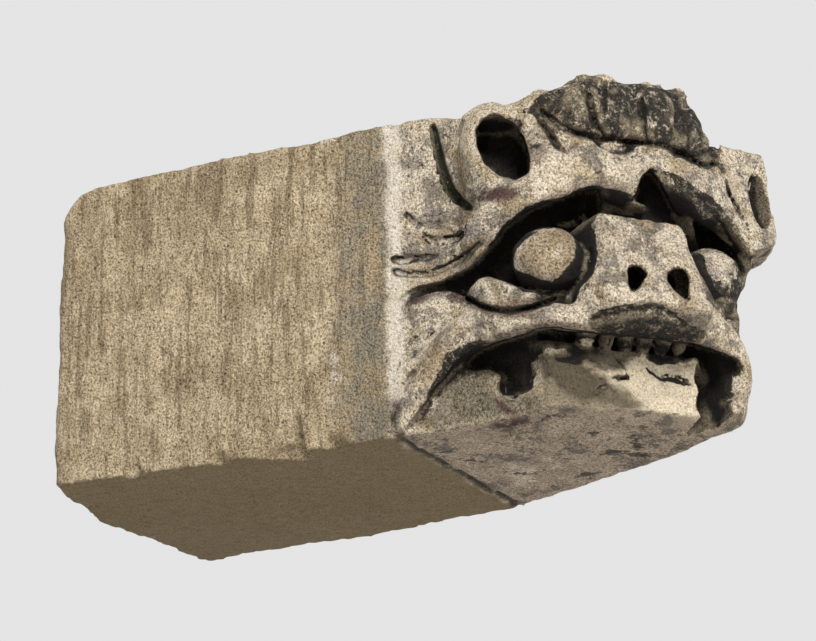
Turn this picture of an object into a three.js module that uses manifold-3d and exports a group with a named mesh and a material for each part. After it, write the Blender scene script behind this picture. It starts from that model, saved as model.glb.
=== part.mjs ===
// Stone corbel: a squared tail that is built into a wall, and a beast's head that looks to one side.
// One block of sandstone. Millimetres, +Z up. The head faces -Y and is turned towards -X.
// The origin is on the flat of the tail's end, midway up the stone.
import * as THREE from "three";
import { mergeVertices } from "three/addons/utils/BufferGeometryUtils.js";
import Module from "manifold-3d";

const wasm = await Module();
wasm.setup();

// The block
const blockHeight = 250;
const wallWidth = 249; // across the stone where it leaves the wall
const tailWidth = 300; // across the stone at its hidden end, which flares on the plain side
const tailLength = 326; // from the end face to the wall line
const endCut = 30; // how far the rough chamfer at the tail's near corner runs up the side
const endCutWidth = 112; // and across the end
const plainCut = 22; // the smaller chamfer at the tail's other corner
const topWear = 40; // radius of the worn edge at the tail's top
const bedWear = 9; // radius of the edge at the tail's bed
const arris = 3; // softened edge of the dressed faces

// The head, turned about the vertical
const headTurn = THREE.MathUtils.degToRad(46);
const headSeat = 0.887; // where the middle of the head starts, as a share of the width at the wall line
const jawLift = 9; // how far the underside of the jaw rises to its front

// The carving is set out in hundredths of the stone's height:
// side is across the face, forward is out from the wall line, up is above the bed.
const unit = blockHeight / 100;
const face = 100; // forward reach of the skull that the features stand on
const clear = 140; // forward of all the carving, for cuts that run out of the stone
const eye = { side: 25.5, forward: 97, up: 46, radius: 10.4 };
const socket = { wide: 15, deep: 11, high: 12.5 };
const notch = { side: 1.5, forward: 112, up: 69, wide: 4.5, deep: 6, high: 5.5 };
const brow = { radius: 8, endRadius: 5.6, peak: 71, end: 50, nearHalf: 43, farHalf: 38 };
const nose = { foot: 25, top: 58, footHalf: 19.5, topHalf: 14.5, footReach: 119, topReach: 109.5 };
const nostril = { side: 6.4, up: 35.3, radius: 3.6, deep: 9 };
const lip = { radius: 6.6, reach: 108 };
const mouth = { high: 23, deep: 95, nearHalf: 34, farHalf: 29 };
const tongue = { near: -27, far: 21.5, top: 20.5, reach: 98, floor: 1 };
const ears = [
  { side: -37.5, up: 77, top: 91 },
  { side: 38.5, up: 71, top: 87.5 },
];
const shoulder = { spread: 1.32, footHalf: 20, headHalf: 25, footBack: 94, headBack: 68 };
const ear = { forward: 96, radius: 9.6, boreWide: 7, boreHigh: 11.5, boreDeep: 15 };
const tuft = { near: -28, far: 21, foot: 76, reach: 116, locks: 5 };
const tooth = { count: 6, wide: 4, high: 3.4, reach: 100.5 };

// Where the head meets the wall line, on the block's plan
const wallY = -tailLength;
const nearX = -tailWidth / 2;
const headX = nearX + headSeat * wallWidth;
const bedZ = -blockHeight / 2;

// A closed geometry as a solid that can be joined and cut.
function solid(geometry) {
  const bare = geometry.clone();
  bare.deleteAttribute("normal");
  bare.deleteAttribute("uv");
  const merged = mergeVertices(bare, 1e-3);
  return new wasm.Manifold(
    new wasm.Mesh({
      numProp: 3,
      vertProperties: merged.attributes.position.array,
      triVerts: new Uint32Array(merged.index.array),
    }),
  );
}

const join = (pieces) => pieces.reduce((whole, piece) => whole.add(piece));

// The head's frame: x across the face, y back into the stone, z up from the bed.
const headFrame = new THREE.Matrix4()
  .makeRotationZ(-headTurn)
  .premultiply(new THREE.Matrix4().makeTranslation(headX, wallY, bedZ));

// A point of the carving, in the head's frame.
const at = (side, forward, up) => new THREE.Vector3(side * unit, -forward * unit, up * unit);

// A geometry that was made in the head's frame, as a solid in the part's frame.
const onHead = (geometry) => solid(geometry.clone().applyMatrix4(headFrame));

// A point of the head's plan, seen from above, in the part's frame.
function planPoint(side, forward) {
  const p = at(side, forward, 0).applyMatrix4(headFrame);
  return new THREE.Vector2(p.x, p.y);
}

// An egg-shaped lump or hollow: sizes are its half lengths, turn leans it in the face's plane.
function egg(side, forward, up, wide, deep, high, turn = 0, yaw = 0, detail = 13) {
  const geometry = new THREE.SphereGeometry(1, detail, Math.round(detail * 0.6));
  geometry.scale(wide * unit, deep * unit, high * unit);
  geometry.rotateY(turn);
  geometry.rotateZ(yaw);
  const p = at(side, forward, up);
  geometry.translate(p.x, p.y, p.z);
  return onHead(geometry);
}

// A round roll along a smooth line of points, thinner or thicker by its radius.
function roll(points, radius, sides = 8, steps = 12) {
  const section = new THREE.Shape();
  section.absarc(0, 0, radius * unit, 0, 2 * Math.PI, false);
  const line = new THREE.CatmullRomCurve3(points.map((p) => at(...p)));
  const geometry = new THREE.ExtrudeGeometry(section, {
    steps,
    curveSegments: sides,
    bevelEnabled: false,
    extrudePath: line,
  });
  const caps = [points[0], points[points.length - 1]].map(([side, forward, up]) =>
    egg(side, forward, up, radius, radius, radius, 0, 0, 8),
  );
  return join([onHead(geometry), ...caps]);
}

// A block with a taper: [half width, back, front] at its foot and at its top.
function wedge(middle, foot, top, footUp, topUp) {
  const geometry = new THREE.BoxGeometry(2, 1, 1);
  const p = geometry.attributes.position;
  for (let i = 0; i < p.count; i++) {
    const [half, back, front] = p.getZ(i) > 0 ? top : foot;
    const up = p.getZ(i) > 0 ? topUp : footUp;
    const forward = p.getY(i) > 0 ? back : front;
    const v = at(middle + p.getX(i) * half, forward, up);
    p.setXYZ(i, v.x, v.y, v.z);
  }
  return onHead(geometry);
}

// The tail: its plan and its side profile, each carried through the other.
function tailBlock() {
  const plan = new THREE.Shape([
    new THREE.Vector2(nearX, wallY),
    new THREE.Vector2(nearX + wallWidth, wallY),
    new THREE.Vector2(nearX + tailWidth, -plainCut),
    new THREE.Vector2(nearX + tailWidth - plainCut, 0),
    new THREE.Vector2(nearX + endCutWidth, 0),
    new THREE.Vector2(nearX, -endCut),
  ]);
  const upright = new THREE.ExtrudeGeometry(plan, {
    depth: blockHeight - 2 * arris,
    bevelThickness: arris,
    bevelSize: arris,
    bevelOffset: -arris,
    bevelSegments: 2,
  });
  upright.translate(0, 0, bedZ + arris);

  // The rough end is a broad flat with a slanted cut at its near corner, both worn round at the top.
  const cutAngle = Math.atan2(endCut, endCutWidth);
  const flatEnd = endWear();
  const slantedEnd = endWear().rotateZ(cutAngle).translate(nearX, -endCut, 0);
  return solid(upright).intersect(solid(flatEnd)).intersect(solid(slantedEnd));
}

// Everything in front of the tail's end, with that end's top and bed edges worn round.
function endWear() {
  const profile = new THREE.Shape();
  profile.moveTo(2 * wallY, bedZ - 1);
  profile.lineTo(-bedWear, bedZ - 1);
  profile.absarc(-bedWear, bedZ + bedWear, bedWear, -Math.PI / 2, 0, false);
  profile.absarc(-topWear, -bedZ - topWear, topWear, 0, Math.PI / 2, false);
  profile.lineTo(2 * wallY, -bedZ);
  profile.closePath();
  const through = new THREE.ExtrudeGeometry(profile, {
    depth: 4 * tailWidth,
    curveSegments: 5,
    bevelEnabled: false,
  });
  return through.rotateX(Math.PI / 2).rotateZ(Math.PI / 2).translate(-2 * tailWidth, 0, 0);
}

// The mass that the head is carved from: it narrows from the full block to the turned face.
function skull() {
  const inWall = wallY + 20;
  const plan = new THREE.Shape([
    new THREE.Vector2(nearX + arris, inWall),
    new THREE.Vector2(nearX, wallY),
    planPoint(-46, 79.5),
    planPoint(-43.5, 91),
    planPoint(-36, face),
    planPoint(35, face),
    planPoint(38, 85),
    planPoint(28.5, 46),
    new THREE.Vector2(nearX + wallWidth, wallY),
    new THREE.Vector2(nearX + wallWidth - arris, inWall),
  ]);
  const high = blockHeight - arris;
  const mass = new THREE.ExtrudeGeometry(plan, {
    depth: high - 2 * arris,
    bevelThickness: arris,
    bevelSize: arris,
    bevelOffset: -arris,
    bevelSegments: 1,
  });
  mass.translate(0, 0, bedZ + arris);
  const shoulders = ears.map(({ side, top }) =>
    wedge(
      side * shoulder.spread,
      [shoulder.footHalf, shoulder.footBack, clear],
      [shoulder.headHalf, shoulder.headBack, clear],
      top,
      101,
    ),
  );
  return solid(mass).subtract(join(shoulders));
}

// The underside of the jaw, cut so that it rises from the wall line to the front.
function jawCut() {
  const reach = tongue.reach * unit;
  const profile = new THREE.Shape([
    new THREE.Vector2(0, -2 * jawLift),
    new THREE.Vector2(0, 0),
    new THREE.Vector2(reach, jawLift),
    new THREE.Vector2(2 * reach, 2 * jawLift),
    new THREE.Vector2(2 * reach, -2 * jawLift),
  ]);
  const geometry = new THREE.ExtrudeGeometry(profile, { depth: 4 * wallWidth, bevelEnabled: false });
  geometry.rotateX(Math.PI / 2).rotateZ(-Math.PI / 2);
  geometry.translate(nearX + 2 * wallWidth, wallY, bedZ);
  return solid(geometry);
}

// Two brow ridges that spring from the nose and fall to the temples, with a notch between them.
function brows() {
  const fall = brow.peak - brow.end;
  const ridge = (mirror, half) =>
    roll(
      [0, 0.25, 0.5, 0.75, 1].map((s) => [
        mirror * (3 + s * (half - 3)),
        105.5 - 12 * s * s,
        brow.peak + 1.5 * Math.sin(Math.PI * s) - fall * s ** 2.2,
      ]),
      brow.radius,
    );
  const temple = (mirror, half) => egg(mirror * (half - 2), 91, brow.end + 5, brow.endRadius, 8, 9);
  const sides = [
    [-1, brow.nearHalf],
    [1, brow.farHalf],
  ];
  const forehead = sides.map(([mirror]) => egg(18 * mirror, 104, 74.5, 16.5, 9, 8));
  return join([...sides.map((s) => ridge(...s)), ...sides.map((s) => temple(...s)), ...forehead]);
}

// The forelock: a crown of locks flush with the top of the stone, hollow between them.
function forelock() {
  const width = tuft.far - tuft.near;
  const step = width / tuft.locks;
  const top = 100;
  const high = top - tuft.foot;
  const locks = [];
  for (let i = 0; i < tuft.locks; i++) {
    const side = tuft.near + step * (i + 0.5);
    const lean = (i / (tuft.locks - 1) - 0.5) * 2;
    locks.push(
      egg(side, tuft.reach - 10 - 4 * lean * lean, top - high / 2, 0.66 * step, 10, 0.62 * high, -0.12 * lean),
    );
  }
  const crown = wedge(
    (tuft.near + tuft.far) / 2,
    [0.48 * width, 60, tuft.reach - 8],
    [0.4 * width, 40, tuft.reach - 2],
    tuft.foot + 3,
    top,
  );
  const over = [2 * width, 0, clear];
  const lid = wedge(0, over, over, top - 1 / unit, clear);
  return join([crown, ...locks]).subtract(lid);
}

// The flat muzzle, broader at the nostrils, with its rounded foot over the lip.
function muzzle() {
  const back = 84;
  const body = wedge(
    0,
    [nose.footHalf, back, nose.footReach - 3],
    [nose.topHalf, back, nose.topReach],
    nose.foot + 6,
    nose.top,
  );
  const front = egg(0, nose.footReach - 12, nose.foot + 10, nose.footHalf - 1, 12, 10.5);
  const wings = [-1, 1].map((m) => egg(m * 12, nose.footReach - 13, nose.foot + 7, 8, 10, 7));
  return join([body, front, ...wings]);
}

const nostrils = () =>
  join(
    [-1, 1].map((m) =>
      egg(
        m * nostril.side,
        nose.footReach - 1,
        nostril.up,
        nostril.radius * (1 + 0.12 * m),
        nostril.deep,
        nostril.radius * (1.25 + 0.15 * m),
        0.2 * m,
      ),
    ),
  );

// The upper lip: a roll that arches over the mouth and comes down to the bed at both cheeks.
function upperLip() {
  const r = lip.radius;
  const near = [
    [-58, 62, 9],
    [-52, 71, 17],
    [-46.5, 79, 28],
    [-39.5, 91, 30],
    [-31, 100, 31],
    [-18, lip.reach - r, 30],
    [0, lip.reach - r + 1, 31],
  ];
  const far = [
    [0, lip.reach - r + 1, 31],
    [15, lip.reach - r, 30],
    [26, 99, 27],
    [32, 95, 19],
    [33.5, 90, 8],
  ];
  return join([roll(near, r, 8, 16), roll(far, r, 8, 12), egg(-33, 88, 32, 12, 14, 10), egg(26, 86, 32, 10, 14, 10)]);
}

// The open mouth: an arched hollow that runs through at the near cheek.
function mouthHollow() {
  const outline = new THREE.Shape();
  outline.moveTo(-90 * unit, -6 * unit);
  outline.lineTo(mouth.farHalf * unit, -6 * unit);
  outline.quadraticCurveTo(
    mouth.farHalf * unit,
    mouth.high * unit,
    0,
    (mouth.high + 1.2) * unit,
  );
  outline.lineTo(-mouth.nearHalf * unit, (mouth.high - 1) * unit);
  outline.quadraticCurveTo(-50 * unit, 19 * unit, -61 * unit, 0);
  outline.closePath();
  const arch = new THREE.ExtrudeGeometry(outline, { depth: 90 * unit, curveSegments: 10, bevelEnabled: false });
  arch.rotateX(Math.PI / 2);
  arch.translate(0, -50 * unit, 0);
  const backWall = new THREE.Shape(
    [
      [-110, 64],
      [-60, 64],
      [-46, 74.5],
      [-34, 86],
      [-29, mouth.deep],
      [tongue.far, mouth.deep],
      [tongue.far + 1.5, 87],
      [mouth.farHalf + 1, 86],
      [mouth.farHalf + 1, clear],
      [-110, clear],
    ].map(([side, forward]) => new THREE.Vector2(side * unit, -forward * unit)),
  );
  const opening = new THREE.ExtrudeGeometry(backWall, { depth: 60 * unit, bevelEnabled: false });
  opening.translate(0, 0, -20 * unit);
  const corner = egg(-33, 92, 12.5, 6, 12, 7);
  return join([onHead(arch).intersect(onHead(opening)), corner]);
}

// What is left of the tongue and the lower jaw, broken off in ledges.
function brokenTongue() {
  const middle = (tongue.near + tongue.far) / 2;
  const half = (tongue.far - tongue.near) / 2;
  const stump = wedge(
    middle,
    [half, 50, tongue.reach],
    [half - 2, 50, tongue.reach - 5],
    tongue.floor,
    tongue.top,
  );
  const ledge = egg(middle - 3, tongue.reach - 6, 11, 0.75 * half, 9, 8);
  const scoop = egg(middle + 9, tongue.reach + 6, 15, 11, 7, 4.5, 0.25);
  const bite = egg(middle - 6, tongue.reach + 5, 18, 12, 6, 4, -0.2);
  return join([stump, ledge]).subtract(scoop).subtract(bite);
}

function teeth() {
  const row = [];
  for (let i = 0; i < tooth.count; i++) {
    const side = (i - (tooth.count - 1) / 2) * tooth.wide * 1.25 - 1;
    const half = tooth.wide / 2;
    row.push(
      wedge(side, [0.8 * half, 92, tooth.reach - 1], [half, 92, tooth.reach], mouth.high - tooth.high, mouth.high + 2),
    );
  }
  return join(row);
}

// The stump of each ear, and the bore that makes it look like a trumpet.
function earStumps() {
  const one = ({ side, up }) => {
    const m = Math.sign(side);
    return join([
      egg(side, ear.forward - 3, up, ear.radius, 13, ear.radius * 1.7, 0.12 * m),
      egg(side - 7 * m, ear.forward + 3, up + 2, 6.5, 8, 13, 0.35 * m),
    ]);
  };
  return join(ears.map(one));
}

function earBores() {
  const one = ({ side, up }) => {
    const m = Math.sign(side);
    const lean = -0.35 * m;
    return egg(side + 3.5 * m, ear.forward + 1, up, ear.boreWide, ear.boreDeep, ear.boreHigh, lean, 0.8 * m);
  };
  return join(ears.map(one));
}

// The sockets, and the channel that runs from each back along the cheek.
function sockets() {
  const one = (m) =>
    join([
      egg(m * eye.side, eye.forward + 6, eye.up + 2, socket.wide, socket.deep, socket.high),
      roll(
        [
          [m * 36, 98, 48],
          [m * 44, 90, 47],
          [m * 49, 79, 44.5],
          [m * 60, 65, 41.5],
        ],
        3.2,
        6,
        8,
      ),
      egg(m * 38, 96, 48, 8, 9, 7, 0.5 * m),
      egg(m * 46, 87, 48, 5, 9, 6.5),
    ]);
  return join([one(-1), one(1)]);
}

// The eyeballs and the lower lids that carry them.
function eyes() {
  const one = (m) =>
    join([
      egg(m * eye.side, eye.forward, eye.up, eye.radius, eye.radius, eye.radius * 0.95, 0, 0, 16),
      roll(
        [
          [m * 43, 88, 35],
          [m * 39, 95, 37.5],
          [m * 33, 100, 34],
          [m * 25, 103.5, 34],
          [m * 17, 104, 40],
        ],
        2.8,
        7,
        10,
      ),
    ]);
  return join([one(-1), one(1)]);
}

// Shallow tooled lines on the near cheek: the groove behind the ear and two wrinkles.
function cheekLines() {
  const groove = roll(
    [
      [-51, 74, 97],
      [-49, 76, 88],
      [-48.5, 77, 79],
      [-46, 80, 69],
      [-44.5, 84, 65],
    ],
    2.2,
    6,
    8,
  );
  const wrinkle = (drop) =>
    roll(
      [
        [-57, 68, 61 - drop],
        [-51, 74, 58 - drop],
        [-45, 81, 61 - drop],
      ],
      1.6,
      6,
      6,
    );
  return join([groove, wrinkle(0), wrinkle(8)]);
}

function corbelStone() {
  const mass = join([tailBlock(), skull()]);
  const raised = join([brows(), forelock(), muzzle(), upperLip(), earStumps()]);
  const browNotch = egg(notch.side, notch.forward, notch.up, notch.wide, notch.deep, notch.high);
  const hollows = join([sockets(), nostrils(), earBores(), cheekLines(), browNotch]);
  const opened = mass.add(raised).subtract(hollows).add(muzzle().subtract(nostrils()));
  const mouthed = opened.subtract(mouthHollow());
  const whole = mouthed.add(eyes()).add(brokenTongue()).add(teeth()).subtract(jawCut());
  return largest(whole);
}

// The stone without chips that the cuts left loose, and with the pockets that the carving closed filled in.
function largest(cut) {
  const bodies = cut.decompose().sort((a, b) => b.volume() - a.volume());
  return bodies[0];
}

// The finished solid as a three.js geometry.
function geometryOf(manifold) {
  const mesh = manifold.getMesh();
  const corners = new Float32Array(mesh.numVert * 3);
  for (let i = 0; i < mesh.numVert; i++) {
    corners.set(mesh.vertProperties.subarray(i * mesh.numProp, i * mesh.numProp + 3), i * 3);
  }
  const geometry = new THREE.BufferGeometry();
  geometry.setAttribute("position", new THREE.BufferAttribute(corners, 3));
  geometry.setIndex(new THREE.BufferAttribute(mesh.triVerts, 1));
  geometry.computeVertexNormals();
  return geometry;
}

const sandstone = new THREE.MeshStandardMaterial({ color: 0xb09c7c, roughness: 0.95, metalness: 0 });

const corbel = new THREE.Mesh(geometryOf(corbelStone()), sandstone);
corbel.name = "corbel";

const part = new THREE.Group();
part.add(corbel);

export default part;
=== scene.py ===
import math

import bpy
import numpy as np
from mathutils import Matrix, Vector


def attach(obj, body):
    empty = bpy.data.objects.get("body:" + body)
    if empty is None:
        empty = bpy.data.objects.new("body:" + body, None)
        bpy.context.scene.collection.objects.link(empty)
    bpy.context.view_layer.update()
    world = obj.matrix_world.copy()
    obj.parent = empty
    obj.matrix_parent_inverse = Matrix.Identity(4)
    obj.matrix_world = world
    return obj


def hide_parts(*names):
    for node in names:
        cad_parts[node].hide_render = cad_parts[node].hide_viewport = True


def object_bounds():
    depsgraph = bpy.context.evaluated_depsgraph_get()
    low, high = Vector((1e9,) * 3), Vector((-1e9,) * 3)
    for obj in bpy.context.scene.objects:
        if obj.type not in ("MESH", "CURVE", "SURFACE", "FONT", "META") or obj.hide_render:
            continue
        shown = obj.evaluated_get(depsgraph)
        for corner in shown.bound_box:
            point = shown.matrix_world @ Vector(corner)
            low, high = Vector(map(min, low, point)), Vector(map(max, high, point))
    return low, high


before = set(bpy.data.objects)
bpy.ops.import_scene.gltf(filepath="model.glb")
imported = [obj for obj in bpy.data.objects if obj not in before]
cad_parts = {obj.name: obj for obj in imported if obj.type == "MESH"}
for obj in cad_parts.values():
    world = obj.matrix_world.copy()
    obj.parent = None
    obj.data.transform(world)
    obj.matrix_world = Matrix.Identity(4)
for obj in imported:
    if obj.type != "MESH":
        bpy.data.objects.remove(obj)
cadLow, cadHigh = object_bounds()
print("frame loaded")

# The stone, in metres. Its carving is set out in units of a hundredth of its height.
stone = {
    "height": 0.250,  # bed to top
    "wallWidth": 0.249,  # across, where it leaves the wall
    "tailWidth": 0.300,  # across the hidden end
    "tailLength": 0.326,
    "endCut": 0.030,  # slanted cut at the tail's near corner, along the side
    "endCutWidth": 0.112,  # and across the end
    "topWear": 0.040,  # radius of the worn top edge at the tail's end
    "arris": 0.0035,  # usual radius of a dressed edge
    "headTurn": 46.0,  # degrees, towards the near side
    "headSeat": 0.887,  # middle of the head, as a share of the wall width
    "jawLift": 0.009,  # rise of the jaw's underside to its front
    "cell": 0.0023,  # size of the carving grid
    "quickCell": 0.0034,
    "triangles": 190000,
    # Breaks in the near arris at the bed, in units: start and stop along the tail, and depth.
    "breaks": ((-126, -104, 5.5), (-103, -66, 9.0), (-47, -35, 4.5), (-26, -15, 4.0)),
}
unit = stone["height"] / 100
turn = math.radians(stone["headTurn"])
sideAxis = np.array([math.cos(turn), -math.sin(turn)])
forwardAxis = np.array([-math.sin(turn), -math.cos(turn)])
nearX = -stone["tailWidth"] / 2 / unit
farX = nearX + stone["wallWidth"] / unit
wallY = -stone["tailLength"] / unit
headBase = np.array([nearX + stone["headSeat"] * stone["wallWidth"] / unit, wallY])
bedZ = -50.0
topZ = 50.0


# Points in units of the block's frame, turned into side, forward and up of the head.
def headCoords(points):
    plan = points[:, :2] - headBase
    return np.stack([plan @ sideAxis, plan @ forwardAxis, points[:, 2] - bedZ], axis=1)


def planOf(side, forward):
    return headBase + side * sideAxis + forward * forwardAxis


# Soft joins and cuts of two distances.
def softMin(a, b, blend):
    h = np.clip(0.5 + 0.5 * (b - a) / blend, 0, 1)
    return b + (a - b) * h - blend * h * (1 - h)


def softMax(a, b, blend):
    return -softMin(-a, -b, blend)


# A form is a distance function with the box in which it matters, in head coordinates.
class Form:
    def __init__(self, measure, low, high):
        self.measure = measure
        self.low = np.array(low, float)
        self.high = np.array(high, float)


# An egg, with its top tipped by turnFace towards +side.
def egg(side, forward, up, wide, deep, high, turnFace=0.0):
    centre = np.array([side, forward, up])
    radii = np.array([wide, deep, high])
    c, s = math.cos(turnFace), math.sin(turnFace)

    def measure(points):
        x, y, z = (points - centre).T
        p = np.stack([c * x - s * z, y, s * x + c * z], axis=1)
        k0 = np.sqrt(((p / radii) ** 2).sum(1)) + 1e-6
        k1 = np.sqrt(((p / radii**2) ** 2).sum(1)) + 1e-6
        return k0 * (k0 - 1) / k1

    big = max(wide, deep, high)
    return Form(measure, centre - big, centre + big)


# A smooth line through a few points, each row being side, forward, up and radius.
def smoothLine(rows, steps=4):
    rows = np.array(rows, float)
    padded = np.vstack([2 * rows[0] - rows[1], rows, 2 * rows[-1] - rows[-2]])
    line = []
    for i in range(1, len(padded) - 2):
        a, b, c, d = padded[i - 1 : i + 3]
        for k in range(steps):
            t = k / steps
            bend = (2 * a - 5 * b + 4 * c - d) * t**2 + (3 * b - a - 3 * c + d) * t**3
            line.append(0.5 * (2 * b + (c - a) * t + bend))
    line.append(rows[-1])
    return np.array(line)


# A roll along a smooth line, with a radius that changes along it.
def roll(rows):
    line = smoothLine(rows)
    widest = line[:, 3].max()

    def measure(points):
        best = np.full(len(points), 1e3)
        for a, b in zip(line[:-1], line[1:]):
            run = b[:3] - a[:3]
            t = np.clip((points - a[:3]) @ run / (run @ run), 0, 1)
            gap = points - a[:3] - t[:, None] * run
            best = np.minimum(best, np.sqrt((gap**2).sum(1)) - (a[3] + t * (b[3] - a[3])))
        return best

    middle = np.array(rows, float)[:, :3]
    return Form(measure, middle.min(0) - widest, middle.max(0) + widest)


# A convex block bounded by planes, each a point and an outward direction.
def facets(planes, low, high, blend):
    cut = [(np.array(p, float), np.array(n, float) / np.linalg.norm(n)) for p, n in planes]

    def measure(points):
        d = (points - cut[0][0]) @ cut[0][1]
        for p, n in cut[1:]:
            d = softMax(d, (points - p) @ n, blend)
        return d

    return Form(measure, low, high)


# A form with another taken out of it.
def notched(form, bite):
    def measure(points):
        return softMax(form.measure(points), -bite.measure(points), 0.8)

    return Form(measure, form.low, form.high)


# Signed distance to a closed outline in two coordinates.
def outlineDistance(x, y, corners):
    best = np.full(len(x), 1e6)
    inside = np.zeros(len(x), bool)
    for (ax, ay), (bx, by) in zip(corners, corners[1:] + corners[:1]):
        ex, ey = bx - ax, by - ay
        t = np.clip(((x - ax) * ex + (y - ay) * ey) / (ex * ex + ey * ey), 0, 1)
        best = np.minimum(best, (x - ax - t * ex) ** 2 + (y - ay - t * ey) ** 2)
        crosses = ((ay > y) != (by > y)) & (x < ex * (y - ay) / (ey if ey else 1e-9) + ax)
        inside ^= crosses
    return np.where(inside, -1, 1) * np.sqrt(best)


lattices = {}
cubeCorners = [(a, b, c) for a in (0, 1) for b in (0, 1) for c in (0, 1)]


# The part of a grid that starts at one corner and has this shape.
def partAt(corner, shape):
    return tuple(slice(start, start + size) for start, size in zip(corner, shape))


# Smooth noise between -1 and 1. The size may differ along each direction.
def noise(points, size, seed):
    if seed not in lattices:
        lattices[seed] = np.random.default_rng(seed).uniform(-1, 1, (32, 32, 32))
    lattice = lattices[seed]
    q = points / np.array(size, float)
    cell = np.floor(q)
    t = q - cell
    t = t * t * (3 - 2 * t)
    i = cell.astype(int) & 31
    j = (i + 1) & 31
    shares, places = (1 - t, t), (i, j)
    result = 0
    for a, b, c in cubeCorners:
        share = shares[a][:, 0] * shares[b][:, 1] * shares[c][:, 2]
        result = result + share * lattice[places[a][:, 0], places[b][:, 1], places[c][:, 2]]
    return result


def fractal(points, size, seed, octaves=3):
    size = np.array(size, float)
    return sum(noise(points + 7.3 * k, size / 2**k, seed + k) / 2**k for k in range(octaves))


# The clay is the set of grid points and their distance to the carved surface so far.
class Clay:
    reach = 6.0

    def __init__(self, points):
        self.block = points
        self.head = headCoords(points)
        self.d = np.full(len(points), 1e3)

    def near(self, form, blend):
        margin = self.reach + blend
        inBox = (self.head > form.low - margin) & (self.head < form.high + margin)
        return np.nonzero(inBox.all(1))[0]

    def add(self, form, blend=1.0):
        rows = self.near(form, blend)
        self.d[rows] = softMin(self.d[rows], form.measure(self.head[rows]), blend)

    def cut(self, form, blend=1.0):
        rows = self.near(form, blend)
        self.d[rows] = softMax(self.d[rows], -form.measure(self.head[rows]), blend)

    # Rows of the front of the head, in the stone or close outside it.
    def facing(self, back):
        return np.nonzero((self.d < 9) & (self.head[:, 1] > back))[0]

    def engrave(self, name, depth, back=60):
        rows = self.facing(back)
        across, up = onSheet(self.head[rows])
        share = lineDistance(across, up, markLines[name], 0.45, True)
        self.d[rows] += depth * np.clip(1 - share**2, 0, 1)

    # The wall is a plan of the stone that the hollow stops at.
    def hollowOut(self, name, wall, back=55, blend=0.8):
        rows = self.facing(back)
        p = self.head[rows]
        across, up = onSheet(p)
        kept = outlineDistance(p[:, 0], p[:, 1], wall)
        hole = softMax(outlineDistance(across, up, hollowLines[name]), -kept, 1.5)
        self.d[rows] = softMax(self.d[rows], -hole, blend)


# The finer carving is set out on an upright sheet in front of the face, as it is seen from one point
# below it and to the near side, so that each line falls across the forms as it does on the real stone.
sheetAt = 95.0
seenFrom = (-248.8, 591.5, -156.5)


def onSheet(p):
    share = (sheetAt - seenFrom[1]) / (p[:, 1] - seenFrom[1])
    across = seenFrom[0] + (p[:, 0] - seenFrom[0]) * share
    return across, seenFrom[2] + (p[:, 2] - seenFrom[2]) * share


# Distance to a line on the sheet, each row being across, up and half width. Ratio gives it in half widths.
def lineDistance(x, y, rows, spread=0.0, ratio=False):
    best = np.full(len(x), 1e3)
    for (ax, ay, ar), (bx, by, br) in zip(rows[:-1], rows[1:]):
        ex, ey = bx - ax, by - ay
        t = np.clip(((x - ax) * ex + (y - ay) * ey) / (ex * ex + ey * ey), 0, 1)
        gap = np.hypot(x - ax - t * ex, y - ay - t * ey)
        half = ar + t * (br - ar) + spread
        best = np.minimum(best, gap / half if ratio else gap - half)
    return best


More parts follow.
